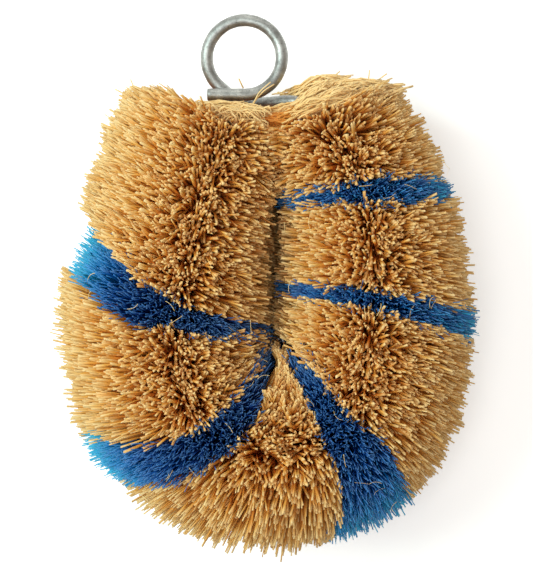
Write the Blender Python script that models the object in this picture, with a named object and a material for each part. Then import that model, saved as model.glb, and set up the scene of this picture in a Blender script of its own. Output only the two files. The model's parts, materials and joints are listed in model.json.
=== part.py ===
"""Palm fibre scrub brush: bunches of palm fibre gripped between two twisted wires and bent into a U.

The two wires twist together through the whole U with the fibres between them, as in a bottle brush. At
the neck the ring wire leaves the twist, turns once to make the hanging ring, and ends cut off across the
front of its own leg. At the far end of the U it runs back to the neck and hooks behind that leg, which
holds the U shut. The binding wire is cut off short at both ends of the twist. Natural and blue bunches
take turns along the wires. The brush lies on its bristles: X is across, +Y points to the ring, and +Z
goes up through the thickness. All sizes are in metres.
"""

import math
import random

import bmesh
import bpy
import numpy as np
from mathutils import Vector
from mathutils.bvhtree import BVHTree

# Wires: galvanised steel, two lengths of the same thickness.
WIRE_DIAMETER = 0.0030
WIRE_SIDES = 8
TWIST_PITCH = 0.0150
POINTS_PER_TURN = 12
CROSSING_GAP = 0.00070
RING_BORE = 0.0150
RING_POINTS = 24
RING_LEG_LENGTH = 0.0050
CUT_END_LENGTH = 0.0088
HOOK_LENGTH = 0.0052
HOOK_TURN = 0.0036
BEND_POINTS = 3
BINDING_START = 0.0042
BINDING_END = 0.0022

# Core line: the axis of the twisted wire, from the neck down the left run, round the bottom and up.
CORE_HALF_WIDTH = 0.0240
CORE_LENGTH = 0.0804
CORE_SHARES = (
    (-0.38, 1.04),
    (-0.46, 0.94),
    (-0.65, 0.77),
    (-0.87, 0.50),
    (-0.97, 0.31),
    (-0.68, 0.09),
    (0.0, 0.0),
    (0.68, 0.07),
    (0.97, 0.29),
    (1.02, 0.57),
    (0.93, 0.81),
    (0.55, 1.0),
)
CORE_STEPS = 40

# Fibres: packed into a thin mat between the two strands, and fanned out on both sides of it.
MAT_THICKNESS = 0.0012
GRIP_GAP = 0.0003
MAT_EDGE = 0.0004
BARE_NECK = 0.0052
BARE_END = 0.0045
BLUE_BAND = 0.0080
BLUE_CENTRE_SHARES = (0.259, 0.430, 0.594, 0.768, 0.903)
BLUE_WIDTH_SHARES = (0.74, 0.88, 0.83, 0.45, 0.62)
BUNCH_GAP = 0.0003
FIBRE_REACH = 0.0262
STRAND_SPACING = 0.00080
STRAND_ROOT_SHARE = 0.35
STRAND_TIP = 0.0030
ROOT_GAP = 0.0001
TIP_GAP = 0.0004
SEAM_GAP = 0.0010
FLAT_CUT = 0.0005
REACH_SPREAD_SHARE = 0.05
TIP_SPREAD_SHARES = (0.30, 1.50)
TURN_SPREAD = math.radians(4)
LEAN_SPREAD = math.radians(2)
PLACE_SHARES = (0, *BLUE_CENTRE_SHARES, 1)
OUTER_LEAN_DEGREES = (-8, -24, -25, -12, -11, -8, -12)
INNER_LEAN_DEGREES = (0, 7, 15, 15, 5, 9, 18)
OUTER_REACH_SHARES = (1.05, 1.15, 1.06, 0.97, 0.98, 0.84, 0.77)
FAR_FAN = math.radians(22)
FAN_LENGTH = 0.0100
TOP_TRIM = 0.0040
LEVEL_ANGLE = math.radians(16)
TRIM_STEP = 0.0010
SHORTEST_STRAND = 0.0030
SEED = 7

WIRE_RADIUS = WIRE_DIAMETER / 2
STRAND_OFFSET = MAT_THICKNESS / 2 + GRIP_GAP + WIRE_RADIUS
CROSSING_OFFSET = WIRE_DIAMETER + CROSSING_GAP
MAT_HALF_WIDTH = STRAND_OFFSET + WIRE_RADIUS + MAT_EDGE
CORE_HEIGHT = FIBRE_REACH - FLAT_CUT
RING_RADIUS = (RING_BORE + WIRE_DIAMETER) / 2
RING_TURN = math.radians(315)
UP = Vector((0, 0, 1))

BUNCH_NAMES = (
    "natural_fibre_left_top",
    "blue_band_left_upper",
    "natural_fibre_left_side",
    "blue_band_left_lower",
    "natural_fibre_bottom",
    "blue_band_right_lower",
    "natural_fibre_right_side",
    "blue_band_right_middle",
    "natural_fibre_right_middle",
    "blue_band_right_upper",
    "natural_fibre_right_top",
)


def clear_scene():
    for old in list(bpy.data.objects):
        bpy.data.objects.remove(old)


def make_material(name, colour, roughness, metallic):
    material = bpy.data.materials.new(name)
    material.use_nodes = True
    shader = material.node_tree.nodes["Principled BSDF"]
    shader.inputs["Base Color"].default_value = (*colour, 1)
    shader.inputs["Roughness"].default_value = roughness
    shader.inputs["Metallic"].default_value = metallic
    return material


def smooth_curve(points, steps):
    """Points of a Catmull-Rom curve through the given ones, with this many steps between two of them."""
    ends = [points[0] * 2 - points[1], *points, points[-1] * 2 - points[-2]]
    curve = []
    for a, b, c, d in zip(ends, ends[1:], ends[2:], ends[3:]):
        for i in range(steps):
            u = i / steps
            bend = (a * 2 - b * 5 + c * 4 - d) * u**2 + (b * 3 - a - c * 3 + d) * u**3
            curve.append((b * 2 + (c - a) * u + bend) / 2)
    return [*curve, points[-1]]


class CoreLine:
    """The axis of the twisted wire, read by the distance along it from the neck."""

    def __init__(self):
        corners = [
            Vector((x * CORE_HALF_WIDTH, y * CORE_LENGTH, CORE_HEIGHT))
            for x, y in CORE_SHARES
        ]
        self.points = smooth_curve(corners, CORE_STEPS)
        self.along = [0.0]
        for a, b in zip(self.points, self.points[1:]):
            self.along.append(self.along[-1] + (b - a).length)
        self.length = self.along[-1]
        self.cloud = np.array([tuple(p) for p in self.points])

    def point(self, s):
        i = int(np.searchsorted(self.along, s)) - 1
        i = min(max(i, 0), len(self.points) - 2)
        share = (s - self.along[i]) / (self.along[i + 1] - self.along[i])
        return self.points[i].lerp(self.points[i + 1], share)

    def tangent(self, s):
        step = self.length / (len(self.points) * 2)
        return (self.point(s + step) - self.point(s - step)).normalized()

    def around(self, s, angle):
        """The direction square to the core at this angle from straight up, turning to the core's side."""
        side = self.tangent(s).cross(UP)
        return UP * math.cos(angle) + side * math.sin(angle)

    def nearest(self, point):
        return float(np.linalg.norm(self.cloud - np.array(point), axis=1).min())


core = CoreLine()
half_turns = round(2 * (core.length - BARE_NECK / 2) / TWIST_PITCH)


def twist(s):
    """How far the strands have turned about the core: slowly at first, where the legs come together, and
    a whole count of half turns at the far end."""
    turned = s - BARE_NECK / 2 if s > BARE_NECK else max(s, 0) ** 2 / (2 * BARE_NECK)
    return math.pi * half_turns * turned / (core.length - BARE_NECK / 2)


def tube(name, path, radius, sides, material):
    """A round wire along the path: rings kept square to it without twisting, and flat cut ends."""
    mesh = bmesh.new()
    side = (path[1] - path[0]).orthogonal().normalized()
    rings = []
    for i, centre in enumerate(path):
        along = (path[min(i + 1, len(path) - 1)] - path[max(i - 1, 0)]).normalized()
        side = (side - along * side.dot(along)).normalized()
        other = along.cross(side)
        turns = [2 * math.pi * k / sides for k in range(sides)]
        rings.append([
            mesh.verts.new(centre + (side * math.cos(a) + other * math.sin(a)) * radius)
            for a in turns
        ])
    for low, high in zip(rings, rings[1:]):
        for k in range(sides):
            after = (k + 1) % sides
            mesh.faces.new((low[k], low[after], high[after], high[k]))
    mesh.faces.new(reversed(rings[0]))
    mesh.faces.new(rings[-1])
    return finished(name, mesh, material)


def finished(name, mesh, material):
    """Turns the mesh into a smooth-shaded object of this name with its faces pointing out."""
    bmesh.ops.recalc_face_normals(mesh, faces=mesh.faces)
    data = bpy.data.meshes.new(name)
    mesh.to_mesh(data)
    mesh.free()
    data.shade_smooth()
    data.set_sharp_from_angle(angle=math.radians(40))
    data.materials.append(material)
    made = bpy.data.objects.new(name, data)
    bpy.context.scene.collection.objects.link(made)
    return made


def helix(phase, start, end, grow):
    """One wire of the twist between two places on the core, growing out of the core at the start or not."""
    step = TWIST_PITCH / POINTS_PER_TURN
    count = math.ceil((end - start) / step)
    points = []
    for s in (start + (end - start) * i / count for i in range(count + 1)):
        ease = min(s / BARE_NECK, 1.0) if grow else 1.0
        offset = STRAND_OFFSET * ease * ease * (3 - 2 * ease)
        points.append(core.point(s) + core.around(s, twist(s) + phase) * offset)
    return points


def ring_turn():
    """The hanging ring as one coil turn: from its cut end in front of the leg, round, and down to the leg."""
    leg_turn = RING_TURN - math.pi / 2
    leg = Vector((-math.sin(leg_turn), math.cos(leg_turn), 0)) * RING_LEG_LENGTH
    foot = Vector((math.cos(leg_turn), math.sin(leg_turn), 0)) * RING_RADIUS + leg
    centre = core.point(0) - foot
    points = []
    for i in range(RING_POINTS + 1):
        turn = RING_TURN * i / RING_POINTS - math.pi / 2
        flat = Vector((math.cos(turn), math.sin(turn), 0)) * RING_RADIUS
        points.append(centre + flat + UP * CROSSING_OFFSET * (1 - i / RING_POINTS))
    cut_end = points[0] - Vector((CUT_END_LENGTH, 0, 0))
    return [cut_end, (cut_end + points[0]) / 2, *points], centre


def hook(strand):
    """Out of the far end of the U, over to the neck, and behind the ring's leg to a cut end."""
    neck = core.point(0) - UP * CROSSING_OFFSET
    away = core.point(0) - core.point(core.length)
    away.normalize()
    turn = strand[-1] + (core.tangent(core.length) + away).normalized() * HOOK_TURN
    before = neck - away * WIRE_DIAMETER * 2
    return smooth_curve([strand[-BEND_POINTS], turn, before, neck, neck + away * HOOK_LENGTH], BEND_POINTS)


def ring_wire_path():
    """The ring wire from the cut end by the ring to the hook at the far end, and the ring's centre."""
    strand = helix(0.0, 0.0, core.length, True)
    ring, centre = ring_turn()
    leg = smooth_curve([ring[-1], strand[0], strand[BEND_POINTS]], BEND_POINTS)
    return [*ring[:-1], *leg, *strand[BEND_POINTS + 1:-BEND_POINTS], *hook(strand)], centre


def binding_wire_path():
    return helix(math.pi, BINDING_START, core.length - BINDING_END, False)


def least_gap(path, other=None):
    """The smallest clearance of a wire to itself, past a short stretch along it, or to the other wire."""
    places = np.array([tuple(p) for p in path])
    if other:
        beside = np.array([tuple(p) for p in other])
        return float(np.linalg.norm(places[:, None] - beside[None], axis=2).min()) - WIRE_DIAMETER
    steps = np.linalg.norm(np.diff(places, axis=0), axis=1)
    along = np.concatenate([[0], np.cumsum(steps)])
    apart = np.linalg.norm(places[:, None] - places[None], axis=2)
    far = np.abs(along[:, None] - along[None]) > WIRE_DIAMETER * 3
    return float(apart[far].min()) - WIRE_DIAMETER


class Strands:
    """Every strand so far, and the wires, so that the next strand keeps clear of them."""

    faces = ((0, 1, 2, 3), (4, 5, 6, 7), (0, 1, 5, 4), (1, 2, 6, 5), (2, 3, 7, 6), (3, 0, 4, 7))

    def __init__(self, wires):
        self.trees = []
        for wire in wires:
            corners = [v.co for v in wire.data.vertices]
            faces = [tuple(f.vertices) for f in wire.data.polygons]
            self.trees.append(BVHTree.FromPolygons(corners, faces))

    def swollen(self, roots, tips):
        """The strand, wider all round by half the gap that it keeps."""
        grown = []
        for corners, gap in ((roots, ROOT_GAP), (tips, TIP_GAP)):
            middle = sum(corners, Vector()) / 4
            grown += [c + (c - middle).normalized() * gap / 2 for c in corners]
        return BVHTree.FromPolygons(grown, self.faces)

    def clear(self, roots, tips):
        tree = self.swollen(roots, tips)
        return not any(tree.overlap(other) for other in self.trees)

    def add(self, roots, tips):
        self.trees.append(self.swollen(roots, tips))


def by_place(share, values):
    """One of the values that are given for the neck, for the middle of each blue band and for the far end."""
    return float(np.interp(share, PLACE_SHARES, values))


def aimed(s, angle, share, chance):
    """The direction of one strand: swept along the core by the twisting, and fanned up at the far end."""
    angle += chance.uniform(-TURN_SPREAD, TURN_SPREAD)
    outward = math.sin(angle)
    sweep = by_place(share, OUTER_LEAN_DEGREES if outward > 0 else INNER_LEAN_DEGREES)
    lean = chance.uniform(-LEAN_SPREAD, LEAN_SPREAD) + math.radians(sweep) * abs(outward)
    to_end = (1 - share) * (core.length - BARE_NECK - BARE_END)
    lean += FAR_FAN * max(0.0, 1 - to_end / FAN_LENGTH) * (1 - max(outward, 0))
    return (core.around(s, angle) * math.cos(lean) + core.tangent(s) * math.sin(lean)).normalized()


def reach_of(s, aim, share, chance):
    """How far this strand gets: its trimmed length, or less where it meets fibres from elsewhere on the U."""
    outward = max(aim.dot(core.tangent(s).cross(UP)), 0)
    full = FIBRE_REACH * (1 + (by_place(share, OUTER_REACH_SHARES) - 1) * outward)
    reach = full * (1 - chance.uniform(0, REACH_SPREAD_SHARE))
    if aim.angle(-UP) < LEVEL_ANGLE:
        reach = FIBRE_REACH
    root = core.point(s)
    top = core.point(0).y + TOP_TRIM
    if root.y + aim.y * reach > top:
        reach = (top - root.y) / aim.y
    while reach > MAT_HALF_WIDTH and core.nearest(root + aim * (reach + SEAM_GAP)) < reach:
        reach -= TRIM_STEP
    return reach


def tip_size(s, angle, reach):
    """A strand stands for a lock of fibres, which widens as far as the bend spreads its neighbours."""
    step = STRAND_SPACING
    here = core.point(s) + core.around(s, angle) * reach
    there = core.point(s + step) + core.around(s + step, angle) * reach
    low, high = TIP_SPREAD_SHARES
    full = STRAND_TIP * min(max((there - here).length / step, low), high)
    return MAT_THICKNESS + (full - MAT_THICKNESS) * reach / FIBRE_REACH


def strand_tip(s, aim, reach, tip, corners):
    """The four corners of the cut tip, in the order of the root's corners, with the floor cut flat."""
    across = aim.cross(core.tangent(s)).normalized()
    along = across.cross(aim).normalized()
    middle = core.point(s) + aim * reach
    places = []
    for corner, (a, b) in zip(corners, ((-1, -1), (-1, 1), (1, 1), (1, -1))):
        place = middle + (along * a + across * b) * tip / 2
        if place.z < 0:
            place = corner.lerp(place, corner.z / (corner.z - place.z))
        places.append(place)
    return places


def bunch(name, start, end, first, last, strands, chance, material):
    """A slice of the fibre mat between the two strands of wire, with its fibres standing out on both edges."""
    count = max(1, round((end - start) / STRAND_SPACING - STRAND_ROOT_SHARE))
    spacing = (end - start) / (count + STRAND_ROOT_SHARE)
    mesh = bmesh.new()
    places = [start + spacing * (i // 2 + STRAND_ROOT_SHARE * (i % 2)) for i in range(2 * count + 2)]
    stations = []
    for s in places:
        angle = twist(s)
        centre, thick, wide = core.point(s), core.around(s, angle), core.around(s, angle + math.pi / 2)
        stations.append([
            mesh.verts.new(centre + wide * MAT_HALF_WIDTH * a + thick * MAT_THICKNESS / 2 * b)
            for a, b in ((1, 1), (-1, 1), (-1, -1), (1, -1))
        ])
    mesh.faces.new(stations[0])
    mesh.faces.new(reversed(stations[-1]))
    made = 0
    for i, (low, high) in enumerate(zip(stations, stations[1:])):
        mesh.faces.new((low[0], high[0], high[1], low[1]))
        mesh.faces.new((low[2], high[2], high[3], low[3]))
        s = (places[i] + places[i + 1]) / 2
        for turn, roots in (
            (math.pi / 2, (low[3], low[0], high[0], high[3])),
            (-math.pi / 2, (low[1], low[2], high[2], high[1])),
        ):
            if i % 2:
                mesh.faces.new(roots)
            else:
                share = (s - first) / (last - first)
                made += strand(mesh, s, twist(s) + turn, roots, share, strands, chance)
    return finished(name, mesh, material), made


def strand(mesh, s, angle, roots, share, strands, chance):
    """Draws one fibre lock out of the mat's edge, or leaves the edge plain where there is no room for it."""
    aim = aimed(s, angle, share, chance)
    reach = reach_of(s, aim, share, chance)
    corners = [root.co.copy() for root in roots]
    while reach > MAT_HALF_WIDTH + SHORTEST_STRAND:
        tips = strand_tip(s, aim, reach, tip_size(s, angle, reach), corners)
        if strands.clear(corners, tips):
            break
        reach -= TRIM_STEP
    else:
        mesh.faces.new(roots)
        return 0
    strands.add(corners, tips)
    ends = [mesh.verts.new(p) for p in tips]
    for k in range(4):
        after = (k + 1) % 4
        mesh.faces.new((roots[k], roots[after], ends[after], ends[k]))
    mesh.faces.new(ends)
    return 1


def bunch_spans():
    """Start and end of each bunch along the core: the blue bands, and the natural fibre between them."""
    first, last = BARE_NECK, core.length - BARE_END
    edges = [first]
    for share, width_share in zip(BLUE_CENTRE_SHARES, BLUE_WIDTH_SHARES):
        middle = first + (last - first) * share
        half = BLUE_BAND * width_share / 2
        edges += [middle - half, middle + half]
    edges.append(last)
    spans = [(a + BUNCH_GAP / 2, b - BUNCH_GAP / 2) for a, b in zip(edges, edges[1:])]
    return spans, first, last


def level_tips(objects):
    """A point on each tip that was cut flat on the floor: half-way from its middle to its first side."""
    found = []
    for made in objects:
        for face in made.data.polygons:
            corners = [made.data.vertices[i].co for i in face.vertices]
            if len(corners) == 4 and all(abs(c.z) < GRIP_GAP / 1000 for c in corners):
                found.append(face.center.lerp((corners[0] + corners[1]) / 2, 0.5))
    return found


def main():
    clear_scene()
    galvanised = make_material("galvanised_wire", (0.36, 0.36, 0.34), 0.42, 1.0)
    natural = make_material("natural_palm_fibre", (0.55, 0.33, 0.13), 0.65, 0.0)
    blue = make_material("blue_fibre", (0.012, 0.075, 0.28), 0.5, 0.0)

    ring_path, ring_centre = ring_wire_path()
    binding_path = binding_wire_path()
    wires = [
        tube("ring_wire", ring_path, WIRE_RADIUS, WIRE_SIDES, galvanised),
        tube("binding_wire", binding_path, WIRE_RADIUS, WIRE_SIDES, galvanised),
    ]
    print(f"ring wire gap to itself {least_gap(ring_path) * 1000:.2f} mm")
    print(f"binding wire gap to itself {least_gap(binding_path) * 1000:.2f} mm")
    print(f"gap between the wires {least_gap(ring_path, binding_path) * 1000:.2f} mm")

    chance = random.Random(SEED)
    strands = Strands(wires)
    spans, first, last = bunch_spans()
    bunches, total = [], 0
    for i, (name, (start, end)) in enumerate(zip(BUNCH_NAMES, spans)):
        material = blue if i % 2 else natural
        made, count = bunch(name, start, end, first, last, strands, chance, material)
        bunches.append(made)
        total += count
    print(f"{total} strands on a core of {core.length * 1000:.1f} mm")

    corners = np.array([tuple(v.co) for made in [*wires, *bunches] for v in made.data.vertices])
    low, high = corners.min(axis=0), corners.max(axis=0)
    origin = bpy.data.objects.new("brush", None)
    bpy.context.scene.collection.objects.link(origin)
    origin.location = (-(low[0] + high[0]) / 2, -(low[1] + high[1]) / 2, 0)
    for made in [*wires, *bunches]:
        made.parent = origin
    shift = Vector(origin.location)
    print("moved by", [round(x * 1000, 3) for x in shift])
    print("ring centre", [round(x * 1000, 3) for x in ring_centre + shift])
    tips = sorted(level_tips(bunches), key=lambda place: (place + shift).length)
    for place in tips[:3]:
        print("level tip", [round(x * 1000, 3) for x in place + shift])


main()
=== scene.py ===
"""The looks of a palm fibre scrub brush: two twisted wires, bunches of palm fibre, bands of blue fibre."""

import json
import math
import random

import bmesh
import bpy
import numpy as np
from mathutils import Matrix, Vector


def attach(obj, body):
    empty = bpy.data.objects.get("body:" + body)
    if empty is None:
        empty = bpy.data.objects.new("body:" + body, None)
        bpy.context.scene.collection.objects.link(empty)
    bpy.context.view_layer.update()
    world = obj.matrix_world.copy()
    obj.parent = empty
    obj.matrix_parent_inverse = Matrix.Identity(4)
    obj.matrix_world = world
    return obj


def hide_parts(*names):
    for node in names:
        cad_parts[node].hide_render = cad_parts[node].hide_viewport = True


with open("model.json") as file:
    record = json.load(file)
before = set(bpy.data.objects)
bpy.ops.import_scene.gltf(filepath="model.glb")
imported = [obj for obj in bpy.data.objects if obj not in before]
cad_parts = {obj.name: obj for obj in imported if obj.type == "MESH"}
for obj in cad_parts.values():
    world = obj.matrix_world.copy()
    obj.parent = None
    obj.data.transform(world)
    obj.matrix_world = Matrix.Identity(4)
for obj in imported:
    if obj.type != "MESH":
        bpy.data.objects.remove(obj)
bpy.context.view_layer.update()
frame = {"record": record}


# Ring wire
# Galvanised steel wire, bent cold. It is cut off across the front of its own leg, turns once as the hanging
# ring, runs through the whole twist, and hooks behind the leg at the neck, which holds the U shut.

WIRE_THICKNESS = 0.0030
WIRE_FACETS = 20
WIRE_WOBBLE_SHARE = 0.035
WIRE_WOBBLE_RADIANS_PER_METRE = (900, 2300)
WIRE_MAP_START = (0.02, 0.01)
WIRE_MAP_SIZE = (0.90, 0.98)
CUT_MAP_PLACES = ((0.96, 0.1), (0.96, 0.3))
CUT_MAP_RADIUS = 0.03
CUT_BEVEL_SHARE = 0.16
PIT_COLOUR_SHARE = 0.45
PATCH_HEIGHT = 1.4
TWIST_PITCH = 0.0150
TWIST_STEPS = 30
CORE_HALF_WIDTH = 0.0240
CORE_LENGTH = 0.0804
CORE_SHARES = (
    (-0.38, 1.04),
    (-0.46, 0.94),
    (-0.65, 0.77),
    (-0.87, 0.50),
    (-0.97, 0.31),
    (-0.68, 0.09),
    (0.0, 0.0),
    (0.68, 0.07),
    (0.97, 0.29),
    (1.02, 0.57),
    (0.95, 0.73),
    (0.74, 0.88),
    (0.37, 1.015),
)
CORE_STEPS = 40
BARE_NECK = 0.0052
WIRE_OFF_CORE = 0.0024
RING_BORE = 0.0150
RING_STEPS = 96
RING_TURN = math.radians(315)
RING_LEG = 0.0050
CROSSING_GAP = 0.0007
CUT_END = 0.0088
CUT_END_STEPS = 8
LEG_STEPS = TWIST_STEPS // 4
HOOK_REACH = 0.0052
HOOK_TURN = 0.0024
HOOK_STEPS = 10

UP = Vector((0, 0, 1))
WIRE_RADIUS = WIRE_THICKNESS / 2
RING_RADIUS = (RING_BORE + WIRE_THICKNESS) / 2
CROSSING = WIRE_THICKNESS + CROSSING_GAP
mounts = {mount["name"]: Vector(mount["pos_m"]) for mount in frame["record"]["mounts"]}


def smooth_curve(points, steps):
    """Points of a Catmull-Rom curve through the given ones, with this many steps between two of them."""
    ends = [points[0] * 2 - points[1], *points, points[-1] * 2 - points[-2]]
    curve = []
    for a, b, c, d in zip(ends, ends[1:], ends[2:], ends[3:]):
        for i in range(steps):
            u = i / steps
            bend = (a * 2 - b * 5 + c * 4 - d) * u**2 + (b * 3 - a - c * 3 + d) * u**3
            curve.append((b * 2 + (c - a) * u + bend) / 2)
    return [*curve, points[-1]]


def ring_centre_from_leg(leg_top):
    """Where the ring's middle is, when its leg runs straight down from it to the start of the twist."""
    turn = RING_TURN - math.pi / 2
    leg = Vector((-math.sin(turn), math.cos(turn), 0)) * RING_LEG
    return leg_top - Vector((math.cos(turn), math.sin(turn), 0)) * RING_RADIUS - leg


core_corners = [Vector((x * CORE_HALF_WIDTH, y * CORE_LENGTH, 0)) for x, y in CORE_SHARES]
core_place = mounts["hang_ring"] - ring_centre_from_leg(core_corners[0])
core_points = smooth_curve([corner + core_place for corner in core_corners], CORE_STEPS)
core_along = [0.0]
for a, b in zip(core_points, core_points[1:]):
    core_along.append(core_along[-1] + (b - a).length)
core_length = core_along[-1]
half_turns = round(2 * (core_length - BARE_NECK / 2) / TWIST_PITCH)


def core_point(s):
    i = min(max(int(np.searchsorted(core_along, s)) - 1, 0), len(core_points) - 2)
    return core_points[i].lerp(core_points[i + 1], (s - core_along[i]) / (core_along[i + 1] - core_along[i]))


def core_tangent(s):
    step = core_length / len(core_points) / 2
    return (core_point(s + step) - core_point(s - step)).normalized()


def twisted(phase, start, end, grow):
    """One wire of the twist: it goes round the core, and grows out of it at the neck where grow is set."""
    count = math.ceil((end - start) / TWIST_PITCH * TWIST_STEPS)
    points = []
    for s in (start + (end - start) * i / count for i in range(count + 1)):
        turned = s - BARE_NECK / 2 if s > BARE_NECK else s**2 / (2 * BARE_NECK)
        angle = math.pi * half_turns * turned / (core_length - BARE_NECK / 2) + phase
        ease = min(s / BARE_NECK, 1.0) if grow else 1.0
        away = UP * math.cos(angle) + core_tangent(s).cross(UP) * math.sin(angle)
        points.append(core_point(s) + away * WIRE_OFF_CORE * ease * ease * (3 - 2 * ease))
    return points


def placed(name, data):
    """A new object in the scene, at the origin."""
    made = bpy.data.objects.new(name, data)
    bpy.context.scene.collection.objects.link(made)
    return made


def placed_shell(name, mesh):
    """Turns the faces of a finished mesh outwards, and makes it an object in the scene."""
    bmesh.ops.recalc_face_normals(mesh, faces=mesh.faces)
    data = bpy.data.meshes.new(name)
    mesh.to_mesh(data)
    mesh.free()
    return placed(name, data)


def skin(mesh, unrolled, rings, map_across, map_up, map_ends):
    """Faces over rings of points and over both ends, each with its place on the map."""
    size = len(rings[0])
    for i, (ring, next_ring) in enumerate(zip(rings, rings[1:])):
        for k in range(size):
            after = (k + 1) % size
            face = mesh.faces.new((ring[k], ring[after], next_ring[after], next_ring[k]))
            face.smooth = True
            for loop, (u, v) in zip(face.loops, ((k, i), (k + 1, i), (k + 1, i + 1), (k, i + 1))):
                loop[unrolled].uv = (map_across[u], map_up[v])
    for ring, places in zip((rings[0][::-1], rings[-1]), map_ends):
        for loop, place in zip(mesh.faces.new(ring).loops, places):
            loop[unrolled].uv = place


def wire_along(name, path, chance):
    """A round wire, a little uneven as hand-bent wire is, with blunt cut ends and a map that unrolls it."""
    mesh = bmesh.new()
    unrolled = mesh.loops.layers.uv.new("OFBake")
    along = np.concatenate([[0], np.cumsum([(b - a).length for a, b in zip(path, path[1:])])])
    side = (path[1] - path[0]).orthogonal().normalized()
    bevel = WIRE_RADIUS * CUT_BEVEL_SHARE
    stations = [(path[0], 1 - CUT_BEVEL_SHARE), (path[0], 1.0)]
    stations += [(place, 1.0) for place in path[1:-1]]
    stations += [(path[-1], 1.0), (path[-1], 1 - CUT_BEVEL_SHARE)]
    wobble = [chance.uniform(0, 2 * math.pi) for _ in range(2)]
    turns = [2 * math.pi * f / WIRE_FACETS for f in range(WIRE_FACETS)]
    rings = []
    for i, (centre, share) in enumerate(stations):
        k = min(max(i - 1, 0), len(path) - 1)
        ahead = (path[min(k + 1, len(path) - 1)] - path[max(k - 1, 0)]).normalized()
        side = (side - ahead * side.dot(ahead)).normalized()
        other = ahead.cross(side)
        if i == 1:
            centre = centre + ahead * bevel
        if i == len(stations) - 2:
            centre = centre - ahead * bevel
        slow, fast = (along[k] * rate + start for rate, start in zip(WIRE_WOBBLE_RADIANS_PER_METRE, wobble))
        ring = []
        for turn in turns:
            uneven = math.sin(2 * turn + slow) + math.sin(fast)
            radius = WIRE_RADIUS * share * (1 + WIRE_WOBBLE_SHARE * uneven / 4 - WIRE_WOBBLE_SHARE / 2)
            ring.append(mesh.verts.new(centre + (side * math.cos(turn) + other * math.sin(turn)) * radius))
        rings.append(ring)
    (left, low), (width, height) = WIRE_MAP_START, WIRE_MAP_SIZE
    map_across = [left + width * f / WIRE_FACETS for f in range(WIRE_FACETS + 1)]
    map_up = [low + height * i / (len(rings) - 1) for i in range(len(rings))]
    map_circle = [(CUT_MAP_RADIUS * math.cos(turn), CUT_MAP_RADIUS * math.sin(turn)) for turn in turns]
    map_ends = [[(u + across, v + up) for across, up in map_circle] for u, v in CUT_MAP_PLACES]
    skin(mesh, unrolled, rings, map_across, map_up, map_ends)
    return placed_shell(name, mesh)


def feed(socket, value):
    """Gives a socket a value, or a link from another socket."""
    if isinstance(value, bpy.types.NodeSocket):
        socket.id_data.links.new(value, socket)
    else:
        socket.default_value = value


def node(tree, kind, inputs=None, **settings):
    """Adds a node with these settings, and feeds its named or numbered inputs."""
    made = tree.nodes.new(kind)
    for name, value in settings.items():
        setattr(made, name, value)
    for name, value in (inputs or {}).items():
        feed(made.inputs[name], value)
    return made


def tree_of(values):
    """The node tree that the sockets among these values are in."""
    return next(value.id_data for value in values if isinstance(value, bpy.types.NodeSocket))


def maths(operation, *values):
    return node(tree_of(values), "ShaderNodeMath", dict(enumerate(values)), operation=operation).outputs[0]


def in_turn(operation):
    """A function that takes this step of arithmetic from each value to the next."""
    def worked_out(first, *others):
        for other in others:
            first = maths(operation, first, other)
        return first
    return worked_out


times = in_turn("MULTIPLY")
plus = in_turn("ADD")


def blended(share, first, second):
    """A colour between two others."""
    made = node(share.id_data, "ShaderNodeMix", {0: share}, data_type="RGBA")
    for socket, colour in ((made.inputs[6], first), (made.inputs[7], second)):
        feed(socket, (*colour, 1) if isinstance(colour, tuple) else colour)
    return made.outputs[2]


def ramp(share, stops):
    """A colour ramp through these places and colours, or greys where a stop gives one number."""
    made = node(share.id_data, "ShaderNodeValToRGB", {0: share})
    points = made.color_ramp.elements
    while len(points) < len(stops):
        points.new(0.5)
    for point, (place, colour) in zip(points, stops):
        point.position = place
        point.color = (*colour, 1) if isinstance(colour, tuple) else (colour, colour, colour, 1)
    return made.outputs[0]


def new_material(name, roughness, metallic):
    material = bpy.data.materials.new(name)
    material.use_nodes = True
    shader = material.node_tree.nodes["Principled BSDF"].inputs
    shader["Roughness"].default_value = roughness
    shader["Metallic"].default_value = metallic
    return material, material.node_tree, shader


def zinc(name, dark, pale):
    """Dull zinc coating: mottled grey, with fine pits and a soft uneven shine."""
    material, tree, shader = new_material(name, 0.45, 1.0)
    place = node(tree, "ShaderNodeTexCoord").outputs["Object"]
    patches = node(tree, "ShaderNodeTexNoise", {"Vector": place, "Scale": 420, "Detail": 4, "Roughness": 0.6})
    grain = node(tree, "ShaderNodeTexNoise", {"Vector": place, "Scale": 2600, "Detail": 3, "Roughness": 0.7})
    patches, grain = patches.outputs["Fac"], grain.outputs["Fac"]
    mottled = ramp(patches, ((0.30, dark), (0.72, pale)))
    no_pit = ramp(grain, ((0.30, 0.0), (0.42, 1.0)))
    pit_colour = tuple(c * PIT_COLOUR_SHARE for c in dark)
    feed(shader["Base Color"], blended(no_pit, pit_colour, mottled))
    feed(shader["Roughness"], ramp(grain, ((0.25, 0.62), (0.75, 0.36))))
    height = plus(times(patches, PATCH_HEIGHT), grain)
    bump = node(tree, "ShaderNodeBump", {"Strength": 0.35, "Distance": 0.0002, "Height": height})
    feed(shader["Normal"], bump.outputs["Normal"])
    return material


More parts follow.
